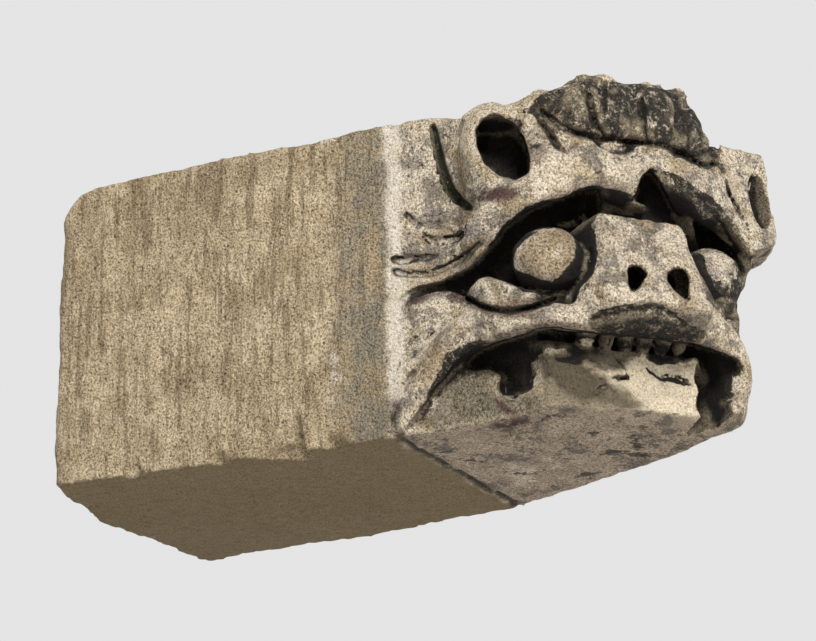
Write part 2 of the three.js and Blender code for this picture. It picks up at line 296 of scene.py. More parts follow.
# Outlines of the hollows on the sheet.
hollowLines = {
    "nearSocketLine": [
        (-50.6, 33.6), (-53.3, 34.8), (-57.9, 35), (-62.4, 33.3), (-67.6, 31), (-70.3, 29.6), (-69.3, 31.8),
        (-66.3, 34.1), (-62.1, 35.8), (-57.5, 37.4), (-53.2, 39.7), (-48.5, 42.6), (-45.3, 46), (-42.1, 50),
        (-37.4, 56.4), (-31.3, 61.5), (-24.4, 65.4), (-14.2, 70.4), (-6.6, 72.3), (-5.2, 68.6), (-6.5, 64),
        (-9.1, 58), (-10, 53.1), (-10, 48.4), (-12.2, 43.2), (-18.8, 39.2), (-23.9, 38.4), (-33.3, 38),
        (-36.3, 38.9), (-40.3, 39.8), (-43.4, 40.4), (-46.2, 39.5), (-48.7, 36.5),
    ],
    "notchLine": [
        (4.3, 69.4), (7.5, 77.2), (10.3, 80.1), (13.2, 77.9), (15.3, 74.2), (17.8, 67.4), (12.8, 67.1),
        (8.5, 68.2),
    ],
    "farSocketLine": [
        (23.4, 66.7), (26.7, 65.1), (31.5, 62.1), (36.2, 57.8), (40.1, 51.7), (41.5, 44.8), (41.2, 41.6),
        (38.5, 37.5), (33.7, 36.5), (30, 40.5), (27.3, 48.2), (25.5, 54.4), (24.3, 60.7),
    ],
    "archBandLine": [
        (-52, 12.9), (-49.4, 16.1), (-45.7, 18.8), (-40.1, 21.4), (-33.9, 23.7), (-29.2, 25.7),
        (-24.5, 26.7), (-19.8, 26.2), (-11.9, 26.3), (-5.6, 26.3), (2.1, 26.7), (10.5, 26.2), (20.2, 25.5),
        (25.4, 24.4), (19.9, 20.9), (10.2, 21.3), (1.8, 21.8), (-5.9, 21.1), (-11.6, 20), (-15.6, 17.2),
        (-21.4, 14), (-26.7, 12.1), (-29.2, 9.4), (-31.4, 7.2), (-34.2, 5.6), (-37.4, 8.2), (-40.6, 11.2),
        (-44.1, 12.4), (-48.4, 11.5),
    ],
    "crescentLine": [
        (19.7, 26.4), (25.1, 25), (30.7, 24.3), (35.2, 22.8), (37.3, 19.9), (38.5, 14.7), (36.9, 11.8),
        (32.1, 9.6), (28.7, 8.7), (25, 10.9), (24.1, 15.7), (22.1, 20.5), (19.4, 23.3),
    ],
    "nearEarLine": [
        (-45.7, 86.3), (-43.3, 89.9), (-38.5, 91.5), (-33.5, 89.9), (-30.2, 85.8), (-28.5, 79.2),
        (-28.8, 74.4), (-33, 71.3), (-38.7, 71.9), (-43, 75.2), (-45.6, 80.3),
    ],
    "nearNostrilLine": [
        (1.2, 47.1), (2.9, 48.5), (5.5, 48.2), (7.7, 46.2), (5.2, 42.8), (2.4, 40.3), (1.2, 42.4),
    ],
    "farNostrilLine": [
        (14.4, 47.8), (17.1, 49.4), (20.4, 49.1), (21.2, 46), (20.8, 41.2), (21.3, 38.7), (19, 39.5),
        (15.6, 42.3), (13.8, 45.2),
    ],
}
# Grooves, cracks and creases on the sheet.
markLines = {
    "lipTop": [
        (-58.2, 15.3, 0.26), (-55.4, 17.9, 0.52), (-51.7, 20.9, 0.62), (-47.3, 24, 0.62),
        (-42.4, 26.6, 0.52), (-36.2, 28, 0.42), (-29, 29, 0.26),
    ],
    "cheekBandA": [(-62.9, 25.2, 0.4), (-66.6, 22.8, 0.9), (-70.2, 19.6, 0.4)],
    "cheekBandB": [
        (-48.5, 24.2, 0.4), (-53.5, 20.8, 0.9), (-59.0, 16.7, 1.1), (-64.5, 11.6, 1.1), (-69.1, 6.3, 0.5),
    ],
    "cheekBandC": [(-60.1, 21.7, 0.4), (-64.6, 17.7, 1.0), (-68.3, 13.6, 1.1), (-71.3, 9.0, 0.5)],
    "lidGroove": [
        (-50, 33.3, 0.39), (-45.9, 31.3, 0.57), (-42.8, 30.6, 0.73), (-38.2, 30.3, 0.83),
        (-33.6, 31.2, 0.88), (-28.8, 32.7, 0.78), (-24.7, 34.6, 0.57), (-22.1, 36.1, 0.31),
    ],
    "eyeRim": [
        (-10.7, 52.1, 0.31), (-10.3, 48.1, 0.42), (-12.8, 43.5, 0.47), (-17.5, 39.9, 0.42),
        (-23.9, 38, 0.36), (-31.7, 37.9, 0.31),
    ],
    "archEdge": [
        (-62.8, -0.7, 0.42), (-61.8, 2.2, 0.62), (-59.7, 5.3, 0.78), (-56.6, 8.8, 0.83),
        (-53.5, 12.5, 0.94), (-50.7, 15.4, 0.94), (-46.9, 18.4, 0.83), (-42.6, 20.6, 0.68),
        (-38.6, 22.4, 0.52),
    ],
    "mossGroove": [
        (-58.5, 85, 0.65), (-57.2, 78.2, 0.91), (-56.4, 73.6, 1.04), (-55, 69, 1.17), (-53.3, 65.2, 1.3),
        (-50.3, 62.4, 1.09), (-47.8, 61.1, 0.52),
    ],
    "wrinkleTop": [
        (-62.2, 50.9, 0.7), (-59.9, 49.6, 1.6), (-55.9, 49.6, 1.7), (-52.2, 51.1, 1.1), (-50.3, 53.1, 0.6),
    ],
    "wrinkleMiddle": [(-72.1, 42.6, 0.5), (-69.1, 42.3, 1.5), (-65.2, 43.6, 1.1), (-58.8, 44.9, 0.6)],
    "wrinkleLow": [
        (-71, 39.1, 1.0), (-66.8, 38.6, 0.8), (-60.8, 39.5, 0.8), (-55.2, 42.2, 1.1), (-50.5, 45.4, 0.9),
        (-45.1, 50.6, 0.6),
    ],
    "wrinkleHigh": [(-67.8, 56.7, 0.7), (-64, 53.7, 1.2), (-58.5, 53.7, 1.4), (-52.6, 56.2, 0.8)],
    "browGroove": [(-24.1, 90.8, 0.52), (-22, 87.8, 0.91), (-19.6, 84.2, 1.04), (-17.4, 82.5, 0.52)],
    "tuftFoot": [
        (-24.2, 95.3, 0.65), (-21.8, 93, 1.3), (-18, 90.9, 1.56), (-14.8, 89.7, 1.17), (-10, 88.4, 0.73),
        (-5, 88.4, 0.57), (3.3, 88.8, 0.47), (11.6, 89.2, 0.47), (17.7, 88.6, 0.52), (24.9, 85.5, 0.62),
        (29.5, 83.5, 0.57), (33, 85.2, 0.39),
    ],
    "fluteA": [(-8.1, 102.8, 0.52), (-8.3, 99.4, 1.56), (-7.3, 94.3, 1.43), (-4.9, 90.3, 0.78)],
    "fluteB": [(0.2, 103.3, 0.26), (0.4, 100.6, 0.78), (1.4, 96.1, 0.78), (2.4, 91, 0.52)],
    "fluteC": [(9.3, 103.8, 0.39), (9.1, 101.1, 0.83), (9.5, 97.2, 0.83), (9.8, 91.2, 0.52)],
    "fluteD": [(21.4, 102.8, 0.52), (22.2, 100.2, 0.78), (23.6, 95.7, 0.78), (25.8, 89.3, 0.52)],
    "crackA": [
        (-15, 15.8, 0.21), (-12.6, 14.2, 0.31), (-10.5, 12.9, 0.39), (-7.3, 12.8, 0.42), (-4.1, 13.4, 0.42),
        (-0.9, 13.6, 0.21),
    ],
    "crackB": [
        (-12.4, 7.6, 0.52), (-9.7, 9.6, 0.88), (-7.1, 11.3, 0.83), (-4.8, 12.7, 0.62), (-1.3, 13.6, 0.26),
    ],
    "crackC": [
        (5.1, 17.8, 0.26), (8.1, 15.6, 0.52), (10.3, 14.6, 0.68), (12.9, 15.1, 0.52), (16.1, 14.4, 0.57),
        (19, 13.5, 0.26),
    ],
    "noseCrease": [
        (-11, 31, 0.52), (-5.8, 32.7, 1.04), (1.4, 34.9, 1.3), (7.9, 35.9, 1.3), (13.8, 35.2, 1.04),
        (18.8, 32.6, 0.65),
    ],
    "farBrowLine": [
        (11.1, 80.9, 0.52), (16.9, 78.3, 0.78), (23.4, 75.2, 0.78), (29.1, 70.6, 0.78), (34.1, 64.7, 0.78),
        (38.1, 56.7, 0.52),
    ],
    "farEarEdge": [
        (34.5, 91.1, 0.39), (34.7, 84.8, 0.52), (35.9, 78.3, 0.52), (38.4, 72.3, 0.52), (42, 65.9, 0.52),
    ],
}


# The tail: a squared block, rough at its end, with worn and chipped edges.
def carveTail(clay):
    p = clay.block
    x, y, z = p.T
    u = 1 / unit
    flare = (stone["tailWidth"] - stone["wallWidth"]) / stone["tailLength"]
    farNormal = np.array([1, -flare]) / math.hypot(1, flare)
    cutNormal = np.array([-stone["endCut"], stone["endCutWidth"]])
    cutNormal = cutNormal / np.linalg.norm(cutNormal)
    sway = fractal(p, (26, 22, 24), 11, 2)
    near = nearX - x + 0.35 * sway
    far = (x - farX) * farNormal[0] + (y - wallY) * farNormal[1] + 0.9 * sway
    end = np.maximum(y, (x - nearX) * cutNormal[0] + (y + stone["endCut"] * u) * cutNormal[1])
    end = end + 0.35 * np.abs(sway)
    top = z - topZ + 0.5 * sway
    bed = bedZ - z - 1.6 * np.exp(-(((x - 20) / 38) ** 2) - ((y + 52) / 46) ** 2) + 0.3 * sway
    front = wallY - y - 2
    wear = stone["arris"] * u * (1.1 + 0.9 * np.clip(noise(p, (9, 7, 8), 15), -0.6, 1.4))
    wear = np.maximum(wear, 0.5)
    upright = softMax(softMax(near, far, wear), front, 0.4)
    upright = softMax(upright, end, wear + 3.5)
    topRound = wear + (stone["topWear"] * u * 1.35) * np.clip((y + 26) / 26, 0, 1)
    clay.d = softMax(softMax(upright, top, topRound), bed, wear + 0.5)
    edge = (nearX - x) * 0.8 + (bedZ - z) * 0.6
    rows = np.nonzero(edge > -14)[0]
    q, along = p[rows], y[rows]
    bruise = np.clip(0.45 + noise(q, (300, 10, 300), 17), 0, 1.2)
    crumble = fractal(q, (7, 7, 4), 18, 3)
    for start, stop, depth in stone["breaks"]:
        share = np.clip((along - start) / 4, 0, 1) * np.clip((stop - along) / 4, 0, 1)
        broken = edge[rows] + share * bruise * depth - 6 * (1 - share) + 0.9 * crumble
        clay.d[rows] = softMax(clay.d[rows], broken, 0.5)


# The mass of the head, from the full block to the turned face.
def carveSkull(clay):
    x, y, z = clay.block.T
    turned = ((-46, 79.5), (-43.5, 90), (-37, 99), (35, 99), (39, 85), (29.5, 47))
    plan = [(nearX + 0.6, wallY + 6), (nearX + 0.2, wallY)]
    plan += [tuple(planOf(side, forward)) for side, forward in turned]
    plan += [(farX, wallY), (farX - 0.6, wallY + 6)]
    around = outlineDistance(x, y, plan) + 0.3
    lift = stone["jawLift"] / unit * np.clip((wallY - y) / 98, 0, 2)
    mass = softMax(softMax(around, z - topZ, 3.0), bedZ + lift - z, 2.2)
    clay.d = softMin(clay.d, mass, 0.8)
    for m, top in ((-1, 91), (1, 87.5)):
        slope = math.atan2(100 - top, 26)
        side, forward, up = clay.head.T
        above = (up - 100) * math.cos(slope) + (forward - 70) * math.sin(slope)
        shoulder = softMax(-above, 28 - m * side, 4.0)
        clay.d = softMax(clay.d, -shoulder, 3.0)


def carveBrows(clay):
    for side in (-1, 1):
        clay.add(egg(18 * side, 103, 74.5, 16.5, 9, 8), 4)
    clay.add(egg(2, 103.5, 75.5, 13, 9, 8), 3)
    near = [
        (-2, 103.5, 70, 6.2), (-11, 105.5, 72.3, 7.6), (-21, 104.5, 71.0, 8.0), (-30, 101.5, 66.5, 7.8),
        (-38, 97, 59.5, 7.2), (-43.5, 90, 54, 6.0),
    ]
    far = [
        (2, 103.5, 69.5, 6.0), (11, 106, 72.6, 7.4), (20, 104.5, 69.5, 7.8), (28, 101, 62.5, 7.2),
        (34, 96.5, 55.5, 6.0), (37.5, 91, 49, 4.8),
    ]
    clay.add(roll(near), 2.5)
    clay.add(roll(far), 2.5)
    clay.add(egg(40.5, 95, 52.5, 2.4, 2.4, 2.2), 1.0)


# The stump of each ear, with its bored hollow.
ears = {
    "near": {"side": -38.5, "up": 78.0, "mirror": -1, "high": 18, "rimTop": 6.4},
    "far": {"side": 37.5, "up": 71.0, "mirror": 1, "high": 15, "rimTop": 4.6},
}


def carveEars(clay):
    for one in ears.values():
        side, up, m = one["side"], one["up"], one["mirror"]
        clay.add(egg(side, 91, up, 9.8, 12.5, one["high"], 0.1 * m), 2.5)
        rimTop = (side - 11 * m, 101, up + 12, one["rimTop"])
        rim = [rimTop, (side - 8.5 * m, 102.5, up, 4.6), (side - 6 * m, 100, up - 12, 4)]
        clay.add(roll(rim), 2.5)
    slab = [
        ((36, 104, 70), (0.15, 1, 0.02)),
        ((49, 97, 72), (1, 0.3, 0.1)),
        ((28, 97, 70), (-1, 0, 0)),
        ((36, 97, 87.5), (0.02, 0.05, 1)),
        ((38, 97, 52), (0.5, 0.1, -1)),
        ((36, 82, 70), (0, -1, 0)),
    ]
    clay.add(facets(slab, (26, 80, 48), (52, 107, 90), 1.8), 1.5)


# Each wall is a plan, as side and forward.
earWall = [(-110, 40), (-60, 66), (-50, 80), (-40, 83), (-30, 88), (0, 92), (70, 92), (70, 40)]


def boreEars(clay):
    clay.hollowOut("nearEarLine", earWall, 80)
    clay.add(egg(-34, 87, 93.8, 12, 8, 3.2), 2.0)  # the roof of the near ear
    clay.cut(egg(43.2, 105, 71, 3.6, 9, 9.5, -0.1), 0.8)


# The forelock over the brow: a crown that is flush with the top, in broad locks with hollows between.
def carveForelock(clay):
    crown = [
        ((0, 110, 102), (-0.06, 0.02, 1)),
        ((0, 113, 90), (0, 1, 0.05)),
        ((0, 100, 76.5), (0, 0.35, -1)),
        ((-27.5, 100, 90), (-1, 0.15, 0.75)),
        ((21.5, 100, 90), (1, 0.2, 0.45)),
        ((0, 62, 90), (0, -1, 0)),
    ]
    clay.add(facets(crown, (-34, 60, 74), (26, 116, 105), 2.6), 2.0)
    for side, forward, up, wide, high, lean in (
        (-25, 104, 86, 4.6, 10.5, 0.35),
        (-17, 108, 88, 4.6, 11, 0.12),
        (-8, 109, 88.5, 5.4, 11, 0.0),
        (4, 109.5, 88.5, 7.0, 11, -0.05),
        (15.5, 107.5, 86, 5.8, 10, -0.15),
    ):
        clay.add(egg(side, forward, up, wide, 7.5, high, lean), 1.6)
    clay.add(roll([(-38, 97, 90, 3.2), (-32, 101, 90.5, 4.0), (-27, 104, 92, 4.2), (-22, 106, 95, 3.0)]), 2)


def carveNose(clay):
    nose = [
        ((0, 109.2, 58), (0, 1, 0.3)),
        ((-15.8, 100, 58), (-1, 0.2, 0.14)),
        ((14.6, 100, 58), (1, 0.2, 0.14)),
        ((0, 109, 58.3), (0.05, -0.12, 1)),
        ((0, 112, 25.5), (0, 0.75, -1)),
        ((0, 84, 45), (0, -1, 0)),
    ]
    clay.add(facets(nose, (-22, 84, 24), (22, 121, 60), 1.8), 1.6)
    for m in (-1, 1):
        clay.add(egg(12.5 * m, 107, 32.5, 8, 9, 7.5), 3.5)
        clay.add(egg(7 * m, 110.5, 31, 6.5, 7, 6), 2.5)


nostrilWall = [(-60, 60), (-40, 105), (40, 105), (60, 60)]


def boreNostrils(clay):
    clay.hollowOut("nearNostrilLine", nostrilWall, 100, 0.6)
    clay.hollowOut("farNostrilLine", nostrilWall, 100, 0.6)


# The cheeks and the upper lip, which arches over the mouth and falls to the bed at both sides.
def carveLip(clay):
    near = [
        (-58, 63, 7.5, 4.0), (-53, 70, 15.5, 5.2), (-48, 77.5, 24, 6.0), (-42.5, 87, 28.0, 5.2),
        (-36.5, 96, 27.8, 4.3), (-30, 101.5, 27.4, 4.2), (-20, 104, 26.8, 4.2), (-8, 104.5, 27, 4.6),
    ]
    far = [
        (-8, 104.5, 27, 4.6), (6, 104.5, 28, 4.8), (16, 103, 28, 5.2), (25, 99, 27, 6.5),
        (33, 94.5, 19, 6.2), (34.5, 90, 7.5, 5.2),
    ]
    clay.add(roll(near), 2.5)
    clay.add(roll(far), 2.5)
    clay.add(egg(-34, 87, 31, 11, 11, 8), 3.5)
    clay.add(egg(27, 88, 33, 10, 13, 10), 3.5)


socketWall = [
    (-110, 40), (-60.5, 62.6), (-55, 66.5), (-48, 70.5), (-42, 74), (-36, 78), (-30, 83), (-8, 88),
    (-6, 94), (10, 98), (20, 98), (22, 88), (34, 86), (38, 93), (42, 101), (70, 101), (70, 40),
]


def hollowSockets(clay):
    clay.cut(egg(-25, 106, 50, 15, 16, 11), 1.2)
    clay.cut(egg(24, 106, 49.5, 13.5, 15, 11.5), 1.2)
    for name in ("nearSocketLine", "notchLine", "farSocketLine"):
        clay.hollowOut(name, socketWall)


def carveEyes(clay):
    clay.add(egg(-25.2, 97.5, 46, 10.6, 10.6, 9.8), 0.4)
    clay.add(egg(27, 96, 45.5, 10.2, 10.2, 10.0), 0.4)
    farLid = [
        (42, 91.5, 38.0, 2.4), (37.5, 98, 37.6, 3.0), (32, 102, 34.8, 2.4), (25, 104.8, 33.6, 2.2),
        (18.5, 106, 36.5, 2.2), (15, 105, 43, 1.8),
    ]
    clay.add(roll([(side * 0.84, *rest) for side, *rest in farLid]), 0.8)
    clay.engrave("lidGroove", 3.2)
    clay.engrave("eyeRim", 0.8)


# The open mouth, and the jaw inside it that runs back to the wall line at the near side.
mouthArch = [
    (-95, -8), (-61.5, -1), (-56, 6.5), (-51, 14), (-45, 20), (-37, 23.6), (-28, 24.6), (-15, 23.2),
    (4, 23.8), (16, 22.4), (23, 20.4), (28, 15.5), (30.3, 8), (30.8, -8),
]
jawPlan = [
    (-110, 40), (-60.5, 63), (-51, 70.5), (-43, 77.5), (-36, 84), (-31, 88), (-27.5, 95.5), (21, 96),
    (22.5, 87), (31.5, 85), (60, 40),
]
gumWall = [
    (-110, 40), (-60, 55), (-50, 62), (-42, 70), (-36, 75), (-30, 80), (-26, 86), (21, 88), (23, 84),
    (29, 85), (31, 93), (36, 101), (70, 101), (70, 40),
]


def openMouth(clay):
    low, high = np.array([-70, 58, -8]), np.array([32, 125, 26])

    def measure(p):
        arch = outlineDistance(p[:, 0], p[:, 2], mouthArch)
        jaw = outlineDistance(p[:, 0], p[:, 1], jawPlan)
        return softMax(arch, -jaw, 2.0)

    clay.cut(Form(measure, low, high), 0.7)
    clay.cut(egg(-32, 90, 13.5, 4.6, 12, 6.5, 0.3), 1.5)
    clay.cut(egg(26, 90, 9, 4.0, 12, 11), 1.5)
    clay.hollowOut("archBandLine", gumWall)
    clay.hollowOut("crescentLine", gumWall)


# What is left of the tongue, broken off in ledges.
def carveTongue(clay):
    stump = [
        ((0, 97.5, 8), (0, 1, 0.12)),
        ((-27.5, 90, 10), (-1, 0.1, 0.05)),
        ((21.5, 90, 10), (1, 0.1, 0)),
        ((0, 92, 23.0), (0.02, 0.3, 1)),
        ((0, 90, 1.6), (0, 0.15, -1)),
        ((0, 70, 10), (0, -1, 0)),
    ]
    ledge = [
        ((10, 98, 9), (-0.05, -0.85, -0.52)),
        ((-4, 95, 15), (-1, 0.1, -0.7)),
        ((0, 90, 8.5), (0, 0.2, -1)),
        ((0, 106, 15), (0, 1, 0)),
    ]
    bite = facets(ledge, (-16, 84, 4), (26, 108, 30), 0.8)
    clay.add(notched(facets(stump, (-30, 70, 0), (24, 101, 26), 1.4), bite), 1.0)
    clay.add(egg(-14, 93.5, 12.5, 13, 6, 6.0, -0.04), 1.5)
    for name, depth in (("crackA", 1.2), ("crackB", 1.3), ("crackC", 1.6)):
        clay.engrave(name, depth, 88)


def carveTeeth(clay):
    for side, half, drop in (
        (-14, 2.8, 2.6), (-7.5, 2.0, 2.9), (-1.5, 2.6, 2.5),
        (4.5, 2.4, 2.8), (10.5, 2.6, 2.6), (16, 2.0, 2.2),
    ):
        clay.add(egg(side, 95.5, 24.4, half, 3.2, drop), 0.5)


# Lines on the cheek, the temple and the brow.
def carveCheekLines(clay):
    for name, depth, back in (
        ("mossGroove", 2.8, 60), ("wrinkleTop", 2.5, 60), ("wrinkleMiddle", 2.3, 60),
        ("wrinkleLow", 2.0, 60), ("wrinkleHigh", 1.7, 60), ("browGroove", 2.0, 88), ("tuftFoot", 2.2, 88),
        ("fluteA", 2.6, 100), ("fluteB", 0.9, 100), ("fluteC", 1.2, 100), ("fluteD", 0.8, 100),
        ("noseCrease", 1.2, 98), ("farBrowLine", 0.9, 92), ("farEarEdge", 1.2, 88), ("archEdge", 2.4, 55),
        ("lipTop", 0.9, 60), ("cheekBandA", 0.8, 55), ("cheekBandB", 0.8, 55), ("cheekBandC", 0.8, 55),
    ):
        clay.engrave(name, depth, back)


# The line where the stone leaves the wall: the head stands a little proud of it.
def carveWallLine(clay):
    y, z = clay.block.T[1:]
    clay.d = softMax(clay.d, z - topZ - 0.6, 1.5)
    gap = np.hypot(y - wallY + 0.6, bedZ - z) - 1.0
    clay.d = softMax(clay.d, -gap, 0.8)


# Weather: grain all over, tooling on the tail, crust on the brow and tuft, and a fractured tongue.
def weather(clay):
    rows = np.nonzero(np.abs(clay.d) < 4)[0]
    p = clay.block[rows]
    side, forward, up = clay.head[rows].T
    onTail = np.clip((p[:, 1] - wallY) / 3, 0, 1)
    crust = np.clip((up - 66) / 14, 0, 1) * (1 - onTail)
    onTuft = np.clip((side + 31) / 5, 0, 1) * np.clip((33 - side) / 5, 0, 1)
    crust = crust * (0.3 + 0.65 * onTuft * np.clip((forward - 92) / 6, 0, 1))
    onTongue = (side > -30) & (side < 23) & (up < 21.5) & (forward > 88)
    rough = 0.35 * fractal(p, (11, 11, 11), 21, 3)
    grain = 0.26 * fractal(p, (2.4, 2.4, 2.4), 31, 2)
    tooling = 0.16 * noise(p, (3.0, 2.0, 13), 41) + 0.10 * noise(p, (2.2, 1.2, 3.0), 42)
    crusty = fractal(p, (5.5, 5.5, 5.5), 51, 4)
    shelves = fractal(p, (13, 13, 5.5), 61, 2) * 3.0
    shelves = np.floor(shelves) + np.clip((shelves - np.floor(shelves)) * 4 - 1.5, 0, 1)
    clay.d[rows] += rough + grain + onTail * tooling + crust * crusty + onTongue * 0.30 * shelves


def carve(points, fine=True):
    clay = Clay(points)
    for step in (
        carveTail, carveSkull, carveBrows, carveEars, carveForelock, carveLip, hollowSockets, carveNose,
        boreNostrils, boreEars, carveCheekLines, openMouth, carveTongue, carveTeeth, carveEyes,
        carveWallLine,
    ):
        step(clay)
    if fine:
        weather(clay)
    return clay.d


# The field on a grid: only the cells near the surface are worked out in full.
def gridField(cell):
    block = 4
    margin = 4
    away = 9.0
    weatherDepth = 1.8
    low = np.array(cadLow) / unit - margin
    high = np.array(cadHigh) / unit + margin
    count = np.ceil((high - low) / (cell * block)).astype(int)
    axes = [low[k] + (np.arange(count[k]) + 0.5) * cell * block for k in range(3)]
    centres = np.stack(np.meshgrid(*axes, indexing="ij"), -1).reshape(-1, 3)
    coarse = carve(centres, False).reshape(count)
    keep = np.abs(coarse) < cell * block * 0.87 + weatherDepth  # 0.87 is half the diagonal of a cube
    nodes = count * block + 1
    field = np.full(nodes, away, np.float32)

    def spread(values):
        for axis in range(3):
            values = values.repeat(block, axis)
        return values

    field[:-1, :-1, :-1] = np.where(spread(coarse) < 0, -away, away)
    wanted = np.zeros(nodes, bool)
    shown = spread(keep)
    for corner in cubeCorners:
        wanted[partAt(corner, shown.shape)] |= shown
    index = np.argwhere(wanted)
    print("carving", len(index), "of", field.size, "points")
    values = np.empty(len(index), np.float32)
    chunk = 400000
    for start in range(0, len(index), chunk):
        stop = start + chunk
        values[start:stop] = carve(low + index[start:stop] * cell)
    field[tuple(index.T)] = values
    return field, low


# The surface of the field, one corner in each cell that it passes and one face for each edge it crosses.
def skinOf(field, low, cell):
    inside = field < 0
    shape = np.array(field.shape) - 1
    full = np.zeros(shape, np.uint8)
    for corner in cubeCorners:
        full += inside[partAt(corner, shape)]
    cells = np.argwhere((full > 0) & (full < 8))
    number = np.full(shape, -1, np.int32)
    number[tuple(cells.T)] = np.arange(len(cells))
    total = np.zeros((len(cells), 3))
    hits = np.zeros(len(cells))
    steps = np.eye(3, dtype=int)
    for corner in cubeCorners:
        for axis in range(3):
            if corner[axis]:
                continue
            step = steps[axis]
            ia = cells + np.array(corner)
            va = field[tuple(ia.T)]
            vb = field[tuple((ia + step).T)]
            crossed = (va < 0) != (vb < 0)
            t = np.where(crossed, va / np.where(crossed, va - vb, 1), 0)
            total += crossed[:, None] * (np.array(corner) + t[:, None] * step)
            hits += crossed
    points = low + (cells + total / hits[:, None]) * cell
    faces = []
    for axis in range(3):
        first = [slice(1, -1)] * 3
        first[axis] = slice(0, -1)
        second = list(first)
        second[axis] = slice(1, None)
        va, vb = inside[tuple(first)], inside[tuple(second)]
        edges = np.argwhere(va != vb)
        at = edges + 1 - steps[axis]
        goesOut = va[tuple(edges.T)]
        stepB, stepC = steps[(axis + 1) % 3], steps[(axis + 2) % 3]
        ring = [at - stepB - stepC, at - stepC, at, at - stepB]
        quad = np.stack([number[tuple(r.T)] for r in ring], 1)
        faces.append(np.where(goesOut[:, None], quad, quad[:, ::-1]))
    return points, np.vstack(faces)


# The one piece whose faces join over edges of two faces, without crumbs or chips that hang by an edge.
def largestPiece(points, faces):
    ends = np.vstack([faces[:, [k, (k + 1) % 4]] for k in range(4)])
    owner = np.tile(np.arange(len(faces)), 4)
    edge = ends.min(1).astype(np.int64) * len(points) + ends.max(1)
    order = np.argsort(edge, kind="stable")
    edge, owner = edge[order], owner[order]
    first = np.nonzero(np.append(True, edge[1:] != edge[:-1]))[0]
    pairs = first[np.diff(np.append(first, len(edge))) == 2]
    one, other = owner[pairs], owner[pairs + 1]
    label = np.arange(len(faces))
    while True:
        least = np.minimum(label[one], label[other])
        before = label.copy()
        np.minimum.at(label, one, least)
        np.minimum.at(label, other, least)
        label = label[label]
        if (label == before).all():
            break
    names, counts = np.unique(label, return_counts=True)
    faces = faces[label == names[counts.argmax()]]
    kept, renumbered = np.unique(faces, return_inverse=True)
    return points[kept], renumbered.reshape(faces.shape)


# An object that stands in the scene.
def placed(name, data):
    one = bpy.data.objects.new(name, data)
    bpy.context.scene.collection.objects.link(one)
    return one


def meshFrom(name, points, faces):
    mesh = bpy.data.meshes.new(name)
    mesh.vertices.add(len(points))
    mesh.vertices.foreach_set("co", (points * unit).astype(np.float32).ravel())
    mesh.loops.add(faces.size)
    mesh.loops.foreach_set("vertex_index", faces.astype(np.int32).ravel())
    mesh.polygons.add(len(faces))
    mesh.polygons.foreach_set("loop_start", np.arange(0, faces.size, 4, dtype=np.int32))
    mesh.update(calc_edges=True)
    mesh.validate()
    return mesh


def makeStone():
    cell = stone["cell"] / unit
    field, low = gridField(cell)
    points, faces = largestPiece(*skinOf(field, low, cell))
    print("surface of", len(faces), "faces")
    draft = placed("draft", meshFrom("draft", points, faces))
    share = stone["triangles"] / (2 * len(faces))
    if share < 1:
        thin = draft.modifiers.new("thin", "DECIMATE")
        thin.ratio = share
    settled = draft.evaluated_get(bpy.context.evaluated_depsgraph_get())
    mesh = bpy.data.meshes.new_from_object(settled)
    mesh.name = "corbelStone"
    bpy.data.objects.remove(draft)
    piece = placed("corbelStone", mesh)
    mesh.polygons.foreach_set("use_smooth", np.ones(len(mesh.polygons), bool))
    mesh.update()
    print("stone of", len(mesh.polygons), "faces")
    return piece


def softStep(value, start, end):
    t = np.clip((value - start) / (end - start), 0, 1)
    return t * t * (3 - 2 * t)


# Where black crust lies, as outlines on the sheet; the teeth's outline is painted shade instead.
crustAndShadeLines = {
    "tuftCrust": [
        (-30.1, 93.9), (-22, 101.5), (-9.8, 109.2), (0.2, 108.6), (11.3, 108.1), (23.8, 107.8), (30.3, 102),
        (34.6, 95.8), (34.4, 84.7), (28.1, 83.6), (21.6, 87.1), (13.3, 88.7), (1.6, 88.5), (-11.6, 87.8),
        (-20.7, 89.3), (-25.7, 92.5),
    ],
    "teethShade": [(-11.9, 26.3), (4.2, 27.8), (20.3, 26.2), (20.6, 22.2), (3.7, 21.6), (-9.1, 20.5)],
    "farBrowCrust": [
        (9.7, 80.1), (17, 80), (24.3, 77.6), (31.3, 72.8), (38.5, 65.5), (42.8, 55.2), (42.9, 41.8),
        (39.1, 44.6), (38.5, 53.5), (34.7, 60.2), (26.7, 65.1), (20, 66.3), (16.2, 69.1),
    ],
    "farEyeCrust": [
        (25.3, 47.7), (30.1, 45.6), (37, 47.2), (43, 50.1), (41.7, 35.3), (32.6, 35.1), (26.7, 40.2),
    ],
    "noseCrust": [
        (-12.3, 29.7), (-8.3, 33.7), (-1.7, 36.2), (8.1, 37.5), (13.8, 35.8), (18.8, 32.6), (25.8, 29.5),
        (20.2, 25.5), (4.1, 27.5), (-8.7, 26.3),
    ],
    "archCrust": [
        (-63.7, -1.9), (-62.7, 3.9), (-59.2, 9.4), (-55.8, 15.6), (-49.9, 19), (-45.7, 20.3), (-48.2, 16.2),
        (-53.2, 11.1), (-57.5, 6.6), (-61.3, 1.1),
    ],
}
# The side of the jaw under the arch of the lip, painted darker as painted shade.
jawShade = [
    (-62.5, -1.8), (-59.4, 4.7), (-55, 10.3), (-48.9, 14.4), (-38.9, 14.1), (-34.7, 5.5),
    (-26.1, 5.6), (-22.7, 1.2), (-25.3, -3.1), (-41.2, -5.5), (-56.3, -8.8), (-63.8, -6),
]
# The part of the tongue in shadow, painted darker as painted shade.
tongueShade = [
    (-29.2, 19.1), (-9, 21.4), (3.8, 21.9), (-0.3, 18.5), (-9.4, 14.7), (-6.5, 11.4),
    (2.8, 7.9), (5.8, 4.5), (-22.7, 0.6), (-29.9, 4.7),
]
